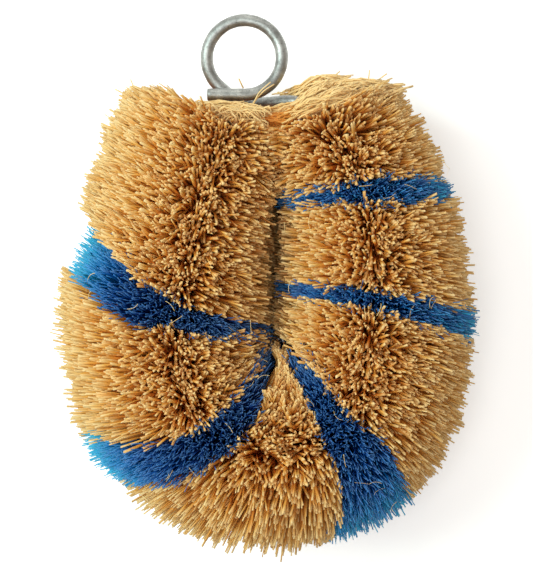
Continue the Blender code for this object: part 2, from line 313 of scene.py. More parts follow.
def ring_wire_path():
    """From the cut end round the ring, down the leg, through the twist, and into the hook at the neck."""
    strand = twisted(0.0, 0.0, core_length, True)
    ring = []
    for i in range(RING_STEPS + 1):
        turn = RING_TURN * i / RING_STEPS - math.pi / 2
        flat = Vector((math.cos(turn), math.sin(turn), 0)) * RING_RADIUS
        ring.append(mounts["hang_ring"] + flat + UP * CROSSING * (1 - i / RING_STEPS))
    cut_end = ring[0] - Vector((CUT_END, 0, 0))
    start = [cut_end.lerp(ring[0], i / CUT_END_STEPS) for i in range(CUT_END_STEPS)]
    leg = smooth_curve([ring[-1], strand[0], strand[LEG_STEPS]], LEG_STEPS)
    neck = core_points[0] - UP * CROSSING
    away = (core_points[0] - core_points[-1]).normalized()
    turn = strand[-1] + (core_tangent(core_length) + away).normalized() * HOOK_TURN
    before = neck - away * WIRE_THICKNESS * 2
    hook = smooth_curve([strand[-LEG_STEPS], turn, before, neck, neck + away * HOOK_REACH], HOOK_STEPS)
    return [*start, *ring[:-1], *leg, *strand[LEG_STEPS + 1:-LEG_STEPS], *hook]


ring_wire = wire_along("ring_wire_looks", ring_wire_path(), random.Random(3))
ring_wire.data.materials.append(zinc("galvanised_wire", (0.25, 0.25, 0.24), (0.50, 0.50, 0.48)))
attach(ring_wire, "root")
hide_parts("ring_wire")


# Binding wire
# The same galvanised wire, in darker greys than the ring wire. It is twisted with the ring wire through
# the whole U, grips the fibres against it, and is cut off short at both ends.

BINDING_START = 0.0042
BINDING_END = 0.0022

binding_path = twisted(math.pi, BINDING_START, core_length - BINDING_END, False)
binding_wire = wire_along("binding_wire_looks", binding_path, random.Random(5))
binding_wire.data.materials.append(zinc("galvanised_wire_darker", (0.20, 0.19, 0.18), (0.46, 0.45, 0.42)))
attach(binding_wire, "root")
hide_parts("binding_wire")


# Natural bunches
# Stiff palm fibre, straw to orange-brown, laid between the wires and twisted in with them so that it stands
# out all round the core. The tips are trimmed, and paler than the rest.

FIBRE_REACH = 0.0262
FIBRES_START = 0.0052
FIBRES_END = core_length - 0.0045
BLUE_BAND = 0.0080
BLUE_CENTRE_SHARES = (0.255, 0.4235, 0.585, 0.756, 0.890)
BLUE_WIDTH_SHARES = (0.64, 0.97, 0.83, 0.45, 0.62)
NATURAL_PER_METRE = 330_000
NATURAL_THICKNESS = 0.00080
MOST_FIBRES = 9_400
GOLDEN_TURN = math.pi * (3 - math.sqrt(5))
TURN_SPREAD = 0.2
THICKNESS_SPREAD_SHARES = (0.65, 1.35)
FLATNESS_SHARES = (0.55, 1.0)
KINK_RADIANS = 3.5 * math.pi

# How the fibres lean and reach, at each of these places along the core
PLACE_SHARES = (0, *BLUE_CENTRE_SHARES[:2], 0.50, *BLUE_CENTRE_SHARES[2:], 1)
OUTER_REACH_SHARES = (1.02, 1.16, 1.17, 0.95, 1.00, 0.99, 0.80, 0.74)
OUTER_DEGREES = (-8, -30, -48, -31, -24, -12, -14, -14)
OUTER_POWERS = (1.5, 2.4, 1.4, 2.0, 2.6, 1, 1, 1)
INNER_DEGREES = (0, 9, 24, 19, 15, 5.5, 14, 20)
INNER_BEND_DEGREES = (0, -9, -28, -14, 0, 0, 0, 0)

# The borders between bunches, and how far fibres may stray at them
OUTER_FLARES = (0.0058, -0.0026, 0.0015, 0.0014, -0.0012)
INNER_FLARES = (0.0004, 0.0026, 0.0052, -0.0002, -0.0012)
INNER_ROOMS = (0.0008, 0.0013, 0.0013, 0.0, -0.0006)
BORDER_ROOM = 0.0008
FREE_ROOM = 0.02
UNEVEN_BORDER = 0.0008
STRAY_GAIN = 2.0
CALM_OUTER_SHARE = 0.5
CALM_INNER_SHARE = 0.7
BORDER_FREEDOM_SLOPE = 4.5
BORDER_FREEDOM_SHARE = 0.35
LEAST_FREEDOM_SHARE = 0.25
EVEN_OUTER_SHARE = 0.6
SQUEEZED_REACH = 0.014
SQUEEZE_LIMIT_SHARE = 0.8
SQUEEZE_STEP = 0.006

# The cut across the top, with a notch under the ring that keeps the wires free
LEFT_TRIM = 0.0020
RIGHT_TRIM = 0.0050
LEFT_NOTCH = 0.0040
RIGHT_NOTCH = 0.0066
NOTCH_HALF_WIDTH = 0.0130
NOTCH_PLACE = -0.0040
NOTCH_STEEPNESS = 3.0
TRIM_SPREAD = (-0.0018, 0.0010)
LEAST_REACH = 0.001
LEAST_SLOPE = 0.01

# The slit between the lobes: fibres cross it at the neck, and it opens towards the wedge
SLIT_PLACE = 0.0004
SLIT_GAP = 0.0021
NO_SLIT = -0.05
SLIT_SPREAD_SHARES = (0.2, 2.0)
SLIT_CLOSED_SHARE = 0.96
SLIT_OPEN_SHARE = 0.70
SLIT_FOOT_SHARE = 0.30
SLIT_CROSSED_GAPS = -1.2
SLIT_FOOT_GAPS = 1.3
SLIT_RISE = (3.0, -0.3)
SLIT_SWAY = 0.0046
SLIT_SWAY_SIZE = 0.0110
SEAM_GAP = 0.0008
SEAM_SPREAD_SHARES = (0.7, 1.5)
SEAM_NECK_SHARE = -0.09
SEAM_BELOW_SHARE = -0.9
SEAM_STEPS = 7
LEAST_FREE_SHARE = 0.01

# Where a fibre lies on the map that its colours are read from: its tone across, its length upwards
FIBRE_MAP_START = (0.002, 0.005)
FIBRE_MAP_SHARE = 0.99
FIBRE_MAP_WIDTH = 0.004
STREAK_STRETCH = (700.0, 6.0, 1.0)

fibre_tree_numbers = (
    "First Place", "Last Place", "Start Share", "Thickness", "Outer Thinning", "Inner Thinning", "Reach",
    "Reach Spread Share", "Side Crowding", "Crown Flare", "Outer Flare", "Inner Flare", "Fan at End",
    "Fan Length", "Unruliness", "Trim Line", "Notch Place", "Notch Depth", "Notch Half Width",
    "Slit Place", "Slit Gap", "Slit Sway", "Slit Sway Size", "Slit Closed Line", "Slit Open Line",
    "Slit Foot Line", "Seam Gap", "Seam Share", "Curl", "Kink", "Tangle", "Tangle Size",
    "Clump Share", "Clump Size", "Outer Painted Light",
)
changing_numbers = ("Outer Reach", "Outer Lean", "Outer Power", "Inner Lean", "Inner Bend", "Squeeze")
border_numbers = ("Room", "Outer Room", "Inner Room")


def new_group(name, kind, inputs, outputs):
    """An empty node group. Its sockets are given as pairs of a name and a kind."""
    tree = bpy.data.node_groups.new(name, kind)
    for way, sockets in (("INPUT", inputs), ("OUTPUT", outputs)):
        for socket, socket_kind in sockets:
            tree.interface.new_socket(socket, in_out=way, socket_type=f"NodeSocket{socket_kind}")
    return tree


minus = in_turn("SUBTRACT")
over = in_turn("DIVIDE")
at_least = in_turn("MAXIMUM")
at_most = in_turn("MINIMUM")


def times_plus(first, second, third):
    return maths("MULTIPLY_ADD", first, second, third)


def clamped(value, least, most):
    return node(value.id_data, "ShaderNodeClamp", {0: value, 1: least, 2: most}).outputs[0]


def between(share, first, second):
    """A number between two others."""
    return node(share.id_data, "ShaderNodeMix", {0: share, 2: first, 3: second}).outputs[0]


def changing(value, start, end, first, last):
    """A number that goes from first to last while the value goes from start to end."""
    ends = {"From Min": start, "From Max": end, "To Min": first, "To Max": last}
    return node(value.id_data, "ShaderNodeMapRange", {"Value": value, **ends}).outputs[0]


def vectors(operation, *values):
    made = node(tree_of(values), "ShaderNodeVectorMath", operation=operation)
    sockets = (made.inputs[0], made.inputs[3]) if operation == "SCALE" else made.inputs
    for socket, value in zip(sockets, values):
        feed(socket, value)
    return made.outputs[0]


def two_ways(first, first_size, second, second_size):
    """The sum of two vectors, each scaled to its own size."""
    return vectors("ADD", vectors("SCALE", first, first_size), vectors("SCALE", second, second_size))


def out_from(root, aim, distance):
    return vectors("ADD", root, vectors("SCALE", aim, distance))


def parts_of(vector):
    return node(vector.id_data, "ShaderNodeSeparateXYZ", {0: vector}).outputs


def joined(*parts):
    return node(tree_of(parts), "ShaderNodeCombineXYZ", dict(enumerate(parts))).outputs[0]


def noise(place, size, detail):
    """Smooth noise with lumps of this size."""
    inputs = {"Vector": place, "Scale": over(1.0, size), "Detail": detail}
    return node(place.id_data, "ShaderNodeTexNoise", inputs).outputs


def random_number(given, offset, low, high):
    """A random number for each fibre. Each use has an offset of its own from the seed."""
    inputs = {2: low, 3: high, "Seed": plus(given["Seed"], offset)}
    return node(given["Seed"].id_data, "FunctionNodeRandomValue", inputs, data_type="FLOAT").outputs[1]


def random_vector(given, offset):
    inputs = {0: (-1.0, -1.0, -1.0), 1: (1.0, 1.0, 1.0), "Seed": plus(given["Seed"], offset)}
    return node(given["Seed"].id_data, "FunctionNodeRandomValue", inputs, data_type="FLOAT_VECTOR").outputs[0]


def stored(geometry, name, value, kind="FLOAT", domain="POINT"):
    made = node(geometry.id_data, "GeometryNodeStoreNamedAttribute", data_type=kind, domain=domain)
    for socket, content in (("Geometry", geometry), ("Name", name), ("Value", value)):
        feed(made.inputs[socket], content)
    return made.outputs[0]


def read(tree, name, kind="FLOAT"):
    return node(tree, "GeometryNodeInputNamedAttribute", {"Name": name}, data_type=kind).outputs[0]


def position(tree):
    return node(tree, "GeometryNodeInputPosition").outputs[0]


def moved(geometry, **inputs):
    """Geometry with each of its points at a new Position, or moved by an Offset."""
    return node(geometry.id_data, "GeometryNodeSetPosition", {"Geometry": geometry, **inputs}).outputs[0]


def way_out(given, index, tangent):
    """Each fibre's way out of the core, and how far it points to the outer and to the inner side of the U."""
    turn = plus(times(index, GOLDEN_TURN), random_number(given, 2, -TURN_SPREAD, TURN_SPREAD))
    turn = times_plus(maths("SINE", times(turn, 2.0)), given["Side Crowding"], turn)
    outward = maths("SINE", turn)
    side = vectors("CROSS_PRODUCT", tangent, tuple(UP))
    radial = two_ways(side, outward, tuple(UP), maths("COSINE", turn))
    return radial, at_least(outward, 0.0), at_least(times(outward, -1.0), 0.0)


def lean_along_core(given, here, share, s, outside, inside, full_reach):
    """How far each fibre leans along the core, in radians, and how freely its tip may move.

    First comes the bunch's own lean, then its flare and the fan at its end. A fibre strays from that as far
    as the room at the bunch's two borders allows.
    """
    outer = times(here["Outer Lean"], maths("POWER", outside, here["Outer Power"]))
    inner = times_plus(here["Inner Bend"], inside, here["Inner Lean"])
    lean = times_plus(inner, inside, outer)

    flare = between(inside, given["Crown Flare"], given["Inner Flare"])
    flare = times(times_plus(share, 2.0, -1.0), between(outside, flare, given["Outer Flare"]))
    before_end = minus(given["Last Place"], s)
    fan = at_least(minus(1.0, over(before_end, given["Fan Length"])), 0.0)
    fan = times(fan, given["Fan at End"], minus(1.0, outside))

    calm = minus(1.0, times(outside, CALM_OUTER_SHARE), times(inside, CALM_INNER_SHARE))
    stray = random_number(given, 3, -1.0, 1.0)
    stray = times(stray, maths("ABSOLUTE", stray), STRAY_GAIN)
    stray = times(stray, times(given["Unruliness"], calm))

    uneven = times(random_number(given, 12, -UNEVEN_BORDER, UNEVEN_BORDER), calm)
    apart = minus(1.0, times(here["Squeeze"], inside))
    rooms = []
    for end, distance in (("Start", minus(s, given["First Place"])), ("End", before_end)):
        room = times_plus(given[f"Outer Room at {end}"], outside, given[f"Room at {end}"])
        room = times_plus(given[f"Inner Room at {end}"], inside, room)
        rooms.append(over(plus(times_plus(distance, apart, room), uneven), full_reach))
    stray = at_most(at_least(stray, times(rooms[0], -1.0)), rooms[1])
    freedom = times_plus(at_most(*rooms), BORDER_FREEDOM_SLOPE, BORDER_FREEDOM_SHARE)
    freedom = clamped(freedom, LEAST_FREEDOM_SHARE, 1.0)
    return plus(lean, plus(flare, fan), stray), times(calm, freedom)


def trimmed_reach(given, full_reach, outside, start_at, heading):
    """Each fibre's length once it is cut level with the table and across the top, and its line of the cut."""
    short = times(given["Reach Spread Share"], random_number(given, 4, 0.0, 1.0))
    short = times(short, minus(1.0, times(outside, EVEN_OUTER_SHARE)))
    reach = times(full_reach, minus(1.0, short))
    falling = at_least(times(heading[2], -1.0), LEAST_SLOPE)
    reach = at_most(reach, over(start_at[2], falling))
    off_notch = minus(times_plus(heading[0], reach, start_at[0]), given["Notch Place"])
    notch = times(minus(given["Notch Half Width"], maths("ABSOLUTE", off_notch)), NOTCH_STEEPNESS)
    notch = clamped(over(notch, given["Notch Half Width"]), 0.0, 1.0)
    line = plus(given["Trim Line"], random_number(given, 5, *TRIM_SPREAD))
    line = minus(line, times(notch, given["Notch Depth"]))
    to_line = over(at_least(minus(line, start_at[1]), LEAST_REACH), at_least(heading[1], LEAST_SLOPE))
    return at_most(reach, to_line), line


def reach_to_slit(given, reach, start_at, heading, open_gaps):
    """Each fibre's length where the slit between the lobes stops it."""
    sway = noise(joined(0.0, start_at[1]), given["Slit Sway Size"], 2.0)["Fac"]
    sway = times(minus(sway, 0.5), given["Slit Sway"])
    off_slit = minus(plus(given["Slit Place"], sway), start_at[0])
    closing = times(heading[0], maths("SIGN", off_slit))
    gap = times(given["Slit Gap"], random_number(given, 13, *SLIT_SPREAD_SHARES))
    gap = times(gap, at_most(times_plus(heading[2], *SLIT_RISE), 1.0))
    foot = changing(start_at[1], given["Slit Foot Line"], given["Slit Open Line"], SLIT_FOOT_GAPS, 0.0)
    gap = times(gap, plus(open_gaps, times(foot, foot)))
    to_slit = at_least(minus(maths("ABSOLUTE", off_slit), gap), LEAST_REACH)
    return at_most(reach, over(to_slit, at_least(closing, LEAST_SLOPE)))


def reach_to_seam(given, reach, root, aim, lean, heading, open_gaps):
    """Each fibre's length where it meets fibres from another stretch of the core, found in halving steps."""
    tree = root.id_data
    open_loop = tree.nodes.new("GeometryNodeRepeatInput")
    close_loop = tree.nodes.new("GeometryNodeRepeatOutput")
    open_loop.pair_with_output(close_loop)
    close_loop.repeat_items.clear()
    for name in ("Free", "Step"):
        close_loop.repeat_items.new("FLOAT", name)
    for name, value in (("Iterations", SEAM_STEPS), ("Free", LEAST_FREE_SHARE), ("Step", 0.5)):
        feed(open_loop.inputs[name], value)
    free, step = open_loop.outputs["Free"], open_loop.outputs["Step"]
    gap = times(given["Seam Gap"], random_number(given, 6, *SEAM_SPREAD_SHARES))
    ahead = times_plus(reach, plus(free, step), gap)
    nearest = node(
        tree, "GeometryNodeProximity", {0: given["Geometry"], "Sample Position": out_from(root, aim, ahead)},
        target_element="EDGES",
    )
    seam = times_plus(minus(1.0, open_gaps), SEAM_NECK_SHARE, given["Seam Share"])
    down = at_least(times(heading[2], -1.0), 0.0)
    seam = times_plus(times(down, minus(1.0, down)), SEAM_BELOW_SHARE, seam)
    own = times(ahead, times(maths("COSINE", lean), seam))
    clear = maths("GREATER_THAN", nearest.outputs["Distance"], own)
    feed(close_loop.inputs["Free"], times_plus(clear, step, free))
    feed(close_loop.inputs["Step"], times(step, 0.5))
    return times(reach, close_loop.outputs["Free"])


def blank_fibre(given):
    """A straight three-sided fibre of length 1, marked with how far along each point is."""
    tree = given["Segments"].id_data
    blank = node(
        tree, "GeometryNodeMeshCylinder",
        {"Vertices": 3, "Side Segments": given["Segments"], "Radius": 0.5, "Depth": 1.0},
        fill_type="NGON",
    )
    height = plus(parts_of(position(tree))[2], 0.5)
    mesh = stored(blank.outputs["Mesh"], "fibre_along", between(height, given["Start Share"], 1.0))
    mesh = stored(mesh, "fibre_side", parts_of(blank.outputs["UV Map"])[0], domain="CORNER")
    across = parts_of(position(tree))
    return moved(mesh, Position=joined(across[0], across[1], read(tree, "fibre_along")))


def standing(given, points, aim, outside, inside):
    """A fibre on each point, turned to its aim, with its own thickness, flatness and reach."""
    tree = points.id_data
    toward = node(tree, "FunctionNodeAlignRotationToVector", {"Vector": aim}, axis="Z").outputs[0]
    angle = random_number(given, 9, 0.0, 2 * math.pi)
    spin = node(tree, "FunctionNodeAxisAngleToRotation", {"Axis": tuple(UP), "Angle": angle}).outputs[0]
    turns = {"Rotation": toward, "Rotate By": spin}
    facing = node(tree, "FunctionNodeRotateRotation", turns, rotation_space="LOCAL").outputs[0]
    thinned = minus(1.0, times(outside, given["Outer Thinning"]), times(inside, given["Inner Thinning"]))
    thick = times(given["Thickness"], random_number(given, 10, *THICKNESS_SPREAD_SHARES), thinned)
    flat = times(thick, random_number(given, 11, *FLATNESS_SHARES))
    size = joined(thick, flat, read(tree, "fibre_reach"))
    inputs = {"Points": points, "Instance": blank_fibre(given), "Rotation": facing, "Scale": size}
    aimed = node(tree, "GeometryNodeInstanceOnPoints", inputs).outputs[0]
    return node(tree, "GeometryNodeRealizeInstances", {"Geometry": aimed}).outputs[0]


def gathered(given, fibres):
    """Gathers the tips in clumps, curls, tangles and kinks them, and keeps them inside the cuts."""
    tree = fibres.id_data
    along = read(tree, "fibre_along")
    tip = read(tree, "fibre_tip", "FLOAT_VECTOR")
    inputs = {"Vector": tip, "Scale": over(1.0, given["Clump Size"])}
    clump = node(tree, "ShaderNodeTexVoronoi", inputs, voronoi_dimensions="3D").outputs["Position"]
    gather = vectors("SCALE", vectors("SUBTRACT", clump, tip), given["Clump Share"])
    curl = vectors("SCALE", read(tree, "fibre_curl", "FLOAT_VECTOR"), given["Curl"])
    tangle = vectors("SUBTRACT", noise(tip, given["Tangle Size"], 1.0)["Color"], (0.5, 0.5, 0.5))
    tangle = vectors("SCALE", tangle, given["Tangle"])
    offset = vectors("ADD", vectors("ADD", gather, curl), tangle)
    offset = vectors("SCALE", offset, times(along, along, read(tree, "fibre_freedom")))
    wave = times(maths("SINE", times(along, KINK_RADIANS)), along, given["Kink"])
    fibres = moved(fibres, Offset=out_from(offset, read(tree, "fibre_kink", "FLOAT_VECTOR"), wave))
    above_table = vectors("MAXIMUM", position(tree), (-1, -1, 0))
    return moved(fibres, Position=vectors("MINIMUM", above_table, joined(1.0, read(tree, "fibre_line"), 1.0)))


def fibre_tree():
    """Stands fibres out all round a stretch of the core, trims them, and gathers their tips in clumps."""
    ends = (*changing_numbers, *border_numbers)
    end_numbers = [f"{name} at {end}" for name in ends for end in ("Start", "End")]
    inputs = [("Geometry", "Geometry"), ("Fibres", "Int"), ("Segments", "Int"), ("Seed", "Int")]
    inputs += [(name, "Float") for name in (*fibre_tree_numbers, *end_numbers)] + [("Material", "Material")]
    tree = new_group("fibres_round_a_core", "GeometryNodeTree", inputs, [("Geometry", "Geometry")])
    given = tree.nodes.new("NodeGroupInput").outputs

    index = node(tree, "GeometryNodeInputIndex").outputs[0]
    share = over(plus(index, random_number(given, 1, 0.0, 1.0)), given["Fibres"])
    s = times_plus(share, minus(given["Last Place"], given["First Place"]), given["First Place"])
    curve = node(tree, "GeometryNodeMeshToCurve", {"Mesh": given["Geometry"]}).outputs[0]
    sample = node(tree, "GeometryNodeSampleCurve", {"Curves": curve, "Length": s}, mode="LENGTH").outputs
    root, tangent = sample["Position"], sample["Tangent"]
    radial, outside, inside = way_out(given, index, tangent)
    here = {}
    for name in changing_numbers:
        here[name] = between(share, given[f"{name} at Start"], given[f"{name} at End"])
    full_reach = between(outside, given["Reach"], here["Outer Reach"])
    lean, freedom = lean_along_core(given, here, share, s, outside, inside, full_reach)
    aim = two_ways(radial, maths("COSINE", lean), tangent, maths("SINE", lean))

    start_at, heading = parts_of(root), parts_of(aim)
    slit_ends = given["Slit Closed Line"], given["Slit Open Line"]
    open_gaps = changing(start_at[1], *slit_ends, SLIT_CROSSED_GAPS, 1.0)
    reach, line = trimmed_reach(given, full_reach, outside, start_at, heading)
    reach = reach_to_slit(given, reach, start_at, heading, open_gaps)
    reach = reach_to_seam(given, reach, root, aim, lean, heading, open_gaps)

    # Fibres that point to the outer side of the U move towards the pale end of the tone ramp, the others
    # towards the dark end: painted light on the outer side, painted shade elsewhere.
    tone = between(given["Outer Painted Light"], random_number(given, 7, 0.0, 1.0), maths("POWER", outside, 2.0))
    points = node(tree, "GeometryNodePoints", {"Count": given["Fibres"]}).outputs[0]
    for name, value, kind in (
        ("fibre_tip", out_from(root, aim, reach), "FLOAT_VECTOR"),
        ("fibre_curl", random_vector(given, 8), "FLOAT_VECTOR"),
        ("fibre_kink", random_vector(given, 14), "FLOAT_VECTOR"),
        ("fibre_tone_with_painted_light", tone, "FLOAT"),
        ("fibre_reach", reach, "FLOAT"),
        ("fibre_freedom", freedom, "FLOAT"),
        ("fibre_line", line, "FLOAT"),
    ):
        points = stored(points, name, value, kind)
    fibres = gathered(given, standing(given, moved(points, Position=root), aim, outside, inside))

    left, low = FIBRE_MAP_START
    u = times_plus(read(tree, "fibre_side"), FIBRE_MAP_WIDTH, left)
    u = times_plus(read(tree, "fibre_tone_with_painted_light"), FIBRE_MAP_SHARE, u)
    v = times_plus(read(tree, "fibre_along"), FIBRE_MAP_SHARE, low)
    fibres = stored(fibres, "OFBake", joined(u, v), "FLOAT2", "CORNER")
    fibres = node(tree, "GeometryNodeSetShadeSmooth", {"Geometry": fibres}).outputs[0]
    dressed = node(tree, "GeometryNodeSetMaterial", {"Geometry": fibres, "Material": given["Material"]})
    feed(tree.nodes.new("NodeGroupOutput").inputs[0], dressed.outputs[0])
    return tree


fibres_round_core = fibre_tree()
core_line = bpy.data.meshes.new("core_line")
core_line.from_pydata(core_points, [(i, i + 1) for i in range(len(core_points) - 1)], [])


def bunch_of_fibres(name, values):
    """Runs the fibre tree on the core line, and keeps a plain mesh. An input that isn't given is 0."""
    base = placed("core_line", core_line)
    modifier = base.modifiers.new("Fibres", "NODES")
    modifier.node_group = fibres_round_core
    for item in fibres_round_core.interface.items_tree:
        if item.in_out == "INPUT" and item.name in values:
            modifier[item.identifier] = values[item.name]
    graph = bpy.context.evaluated_depsgraph_get()
    data = bpy.data.meshes.new_from_object(base.evaluated_get(graph))
    base.modifiers.remove(modifier)
    bpy.data.objects.remove(base)
    for left_over in [layer.name for layer in data.attributes if layer.name.startswith("fibre_")]:
        data.attributes.remove(data.attributes[left_over])
    data.name = name
    return placed(name, data)


def place_of(share):
    return FIBRES_START + (FIBRES_END - FIBRES_START) * share


def blue_spans():
    """Start and end of each blue band, by the distance along the core."""
    half_widths = [BLUE_BAND * share / 2 for share in BLUE_WIDTH_SHARES]
    return [(place_of(c) - half, place_of(c) + half) for c, half in zip(BLUE_CENTRE_SHARES, half_widths)]


def natural_spans():
    """Start and end of each stretch between the blue bands."""
    starts = [FIBRES_START] + [end for _, end in blue_spans()]
    return list(zip(starts, [start for start, _ in blue_spans()] + [FIBRES_END]))


def squeeze_at(s):
    """How much the fibres close up on the inner side of a bend: 0 where the core is straight."""
    before, after = core_tangent(s - SQUEEZE_STEP), core_tangent(s + SQUEEZE_STEP)
    bend = before.cross(after).z / (2 * SQUEEZE_STEP)
    return min(max(bend * SQUEEZED_REACH, 0.0), SQUEEZE_LIMIT_SHARE)


def from_place(name, first, last, reach, outer_reach):
    """The tree's inputs that follow from where a bunch is, and from the cut and the slit beside it."""
    above, notch = (LEFT_TRIM, LEFT_NOTCH) if "left" in name else (RIGHT_TRIM, RIGHT_NOTCH)
    values = {
        "First Place": first,
        "Last Place": last,
        "Reach": reach,
        "Trim Line": core_points[0].y + above,
        "Notch Place": core_place.x + NOTCH_PLACE,
        "Notch Depth": notch,
        "Notch Half Width": NOTCH_HALF_WIDTH,
        "Seam Gap": SEAM_GAP,
        "Slit Place": core_place.x + SLIT_PLACE,
        "Slit Sway": SLIT_SWAY,
        "Slit Sway Size": SLIT_SWAY_SIZE,
        "Slit Closed Line": core_place.y + CORE_LENGTH * SLIT_CLOSED_SHARE,
        "Slit Open Line": core_place.y + CORE_LENGTH * SLIT_OPEN_SHARE,
        "Slit Foot Line": core_place.y + CORE_LENGTH * SLIT_FOOT_SHARE,
    }
    degree = math.radians(1)
    for end, s in (("Start", first), ("End", last)):
        share = (s - FIBRES_START) / (FIBRES_END - FIBRES_START)
        values[f"Squeeze at {end}"] = squeeze_at(s)
        for name, unit, numbers in (
            ("Outer Reach", outer_reach, OUTER_REACH_SHARES),
            ("Outer Lean", degree, OUTER_DEGREES),
            ("Outer Power", 1, OUTER_POWERS),
            ("Inner Lean", degree, INNER_DEGREES),
            ("Inner Bend", degree, INNER_BEND_DEGREES),
        ):
            values[f"{name} at {end}"] = unit * float(np.interp(share, PLACE_SHARES, numbers))
    return values


def fibre_marks():
    """Node group: what changes along a fibre and from fibre to fibre, read from its unrolled map."""
    outputs = [(name, "Float") for name in ("Tone", "Streak", "Cut End", "Depth")]
    tree = new_group("fibre_marks", "ShaderNodeTree", [("Map", "Vector"), ("Streaks", "Float")], outputs)
    given = tree.nodes.new("NodeGroupInput").outputs
    tone, along = parts_of(given["Map"])[:2]
    stretched = vectors("MULTIPLY", given["Map"], STREAK_STRETCH)
    inputs = {"Vector": stretched, "Scale": given["Streaks"], "Detail": 3.0, "Roughness": 0.6}
    out = tree.nodes.new("NodeGroupOutput").inputs
    feed(out["Tone"], tone)
    feed(out["Streak"], node(tree, "ShaderNodeTexNoise", inputs).outputs["Fac"])
    feed(out["Cut End"], ramp(along, ((0.89, 0.0), (0.99, 1.0))))
    # Depth is 1 towards the root and 0 at the tip: the materials paint shade deep in the bunch with it.
    feed(out["Depth"], ramp(along, ((0.50, 1.0), (0.985, 0.0))))
    return tree


fibre_marks_group = fibre_marks()


def marks_in(tree, streaks):
    """The marks on a fibre, for use in a material. More streaks are finer ones."""
    inputs = {"Map": node(tree, "ShaderNodeUVMap", uv_map="OFBake").outputs[0], "Streaks": streaks}
    return node(tree, "ShaderNodeGroup", inputs, node_tree=fibre_marks_group).outputs


def fibre_colour(marks, tones, changes):
    """A fibre's colour: its own tone, then towards another colour by each of these marks and strengths."""
    colour = ramp(marks["Tone"], tones)
    for mark, strength, other in changes:
        colour = blended(times(marks[mark], strength), colour, other)
    return colour


def palm_fibre():
    """Dry palm fibre: its own straw or brown, paler at its cut tip, and redder towards the core, partly in
    painted shade.
    """
    material, tree, shader = new_material("palm_fibre", 0.62, 0.0)
    marks = marks_in(tree, 1.0)
    tones = (
        (0.00, (0.50, 0.172, 0.018)),
        (0.15, (0.66, 0.290, 0.034)),
        (0.50, (0.77, 0.416, 0.064)),
        (0.82, (0.82, 0.508, 0.108)),
        (1.00, (0.91, 0.70, 0.29)),
    )
    feed(shader["Base Color"], fibre_colour(marks, tones, (
        # Painted shade, partly the fibre's own redder colour: red-brown and darker towards the root, deep in
        # the bunch.
        ("Depth", 0.85, (0.82, 0.190, 0.022)),
        ("Streak", 0.35, (0.55, 0.21, 0.028)),
        ("Cut End", ramp(marks["Tone"], ((0.1, 0.25), (0.8, 0.80))), (0.92, 0.665, 0.34)),
    )))
    feed(shader["Roughness"], ramp(marks["Streak"], ((0.2, 0.50), (0.8, 0.75))))
    bump = node(tree, "ShaderNodeBump", {"Strength": 0.25, "Distance": 0.0001, "Height": marks["Streak"]})
    feed(shader["Normal"], bump.outputs["Normal"])
    return material


palm = palm_fibre()
natural_names = ("left_top", "left_side", "bottom", "right_side", "right_middle", "right_top")
outer_flares = (0.0, *OUTER_FLARES, 0.0)
inner_flares = (0.0, *INNER_FLARES, 0.0)
inner_rooms = (0.0, *INNER_ROOMS, 0.0)
for i, (name, (start, end)) in enumerate(zip(natural_names, natural_spans())):
    parts = math.ceil((end - start) * NATURAL_PER_METRE / MOST_FIBRES)
    for part in range(parts):
        first, last = (start + (end - start) * k / parts for k in (part, part + 1))
        label = f"natural_{name}_{part + 1}" if parts > 1 else f"natural_{name}_looks"
        bunch = bunch_of_fibres(label, {
            **from_place(name, first, last, FIBRE_REACH, FIBRE_REACH),
            "Fibres": round((last - first) * NATURAL_PER_METRE),
            "Reach Spread Share": 0.32,
            "Thickness": NATURAL_THICKNESS,
            "Outer Thinning": 0.40,
            "Inner Thinning": 0.30,
            "Side Crowding": 0.20,
            "Start Share": 0.10,
            "Fan at End": math.radians(4) if name == "right_top" and part == parts - 1 else 0.0,
            "Fan Length": 0.011,
            "Unruliness": math.radians(14),
            "Room at Start": FREE_ROOM if part > 0 else -BORDER_ROOM,
            "Room at End": FREE_ROOM if part < parts - 1 else -BORDER_ROOM,
            "Outer Room at Start": BORDER_ROOM - outer_flares[i],
            "Outer Room at End": BORDER_ROOM - outer_flares[i + 1],
            "Inner Room at Start": BORDER_ROOM - inner_rooms[i] - inner_flares[i],
            "Inner Room at End": BORDER_ROOM - inner_rooms[i + 1] - inner_flares[i + 1],
            "Seam Share": 0.70 if name == "bottom" else 0.88,
            "Slit Gap": NO_SLIT if name == "bottom" else SLIT_GAP,
            "Segments": 3,
            "Curl": 0.0012,
            "Tangle": 0.008,
            "Tangle Size": 0.006,
            "Clump Share": 0.50,
            "Clump Size": 0.0040,
            "Outer Painted Light": 0.26,
            "Seed": 100 * i + 20 * part,
            "Material": palm,
        })
        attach(bunch, "root")
        if part == 0:
            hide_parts(f"natural_fibre_{name}")


# Blue bands
# Finer fibre dyed deep blue, put in between the natural bunches and twisted in with them. It is softer, so it
# fans out and curls at the tips.

BLUE_PER_METRE = 640_000
BLUE_THICKNESS = 0.00031
BLUE_REACH_SHARES = (0.95, 0.98, 0.98, 0.92, 0.91)
BLUE_OUTER_SHARES = (0.92, 0.97, 0.98, 0.97, 0.94)
# Painted light and shade for each band: how far its outer fibres are made bright cyan and its crown and inner
# ones dark navy, strong on the left bands and weak on the right ones.
BLUE_OUTER_PAINTED_LIGHT = (0.94, 1.0, 0.62, 0.42, 0.36)
BLUE_SLIT_SHARES = (1.3, 1.0, 1.0, 1.3, 2.2)
BLUE_OUTER_ROOM = 0.0010


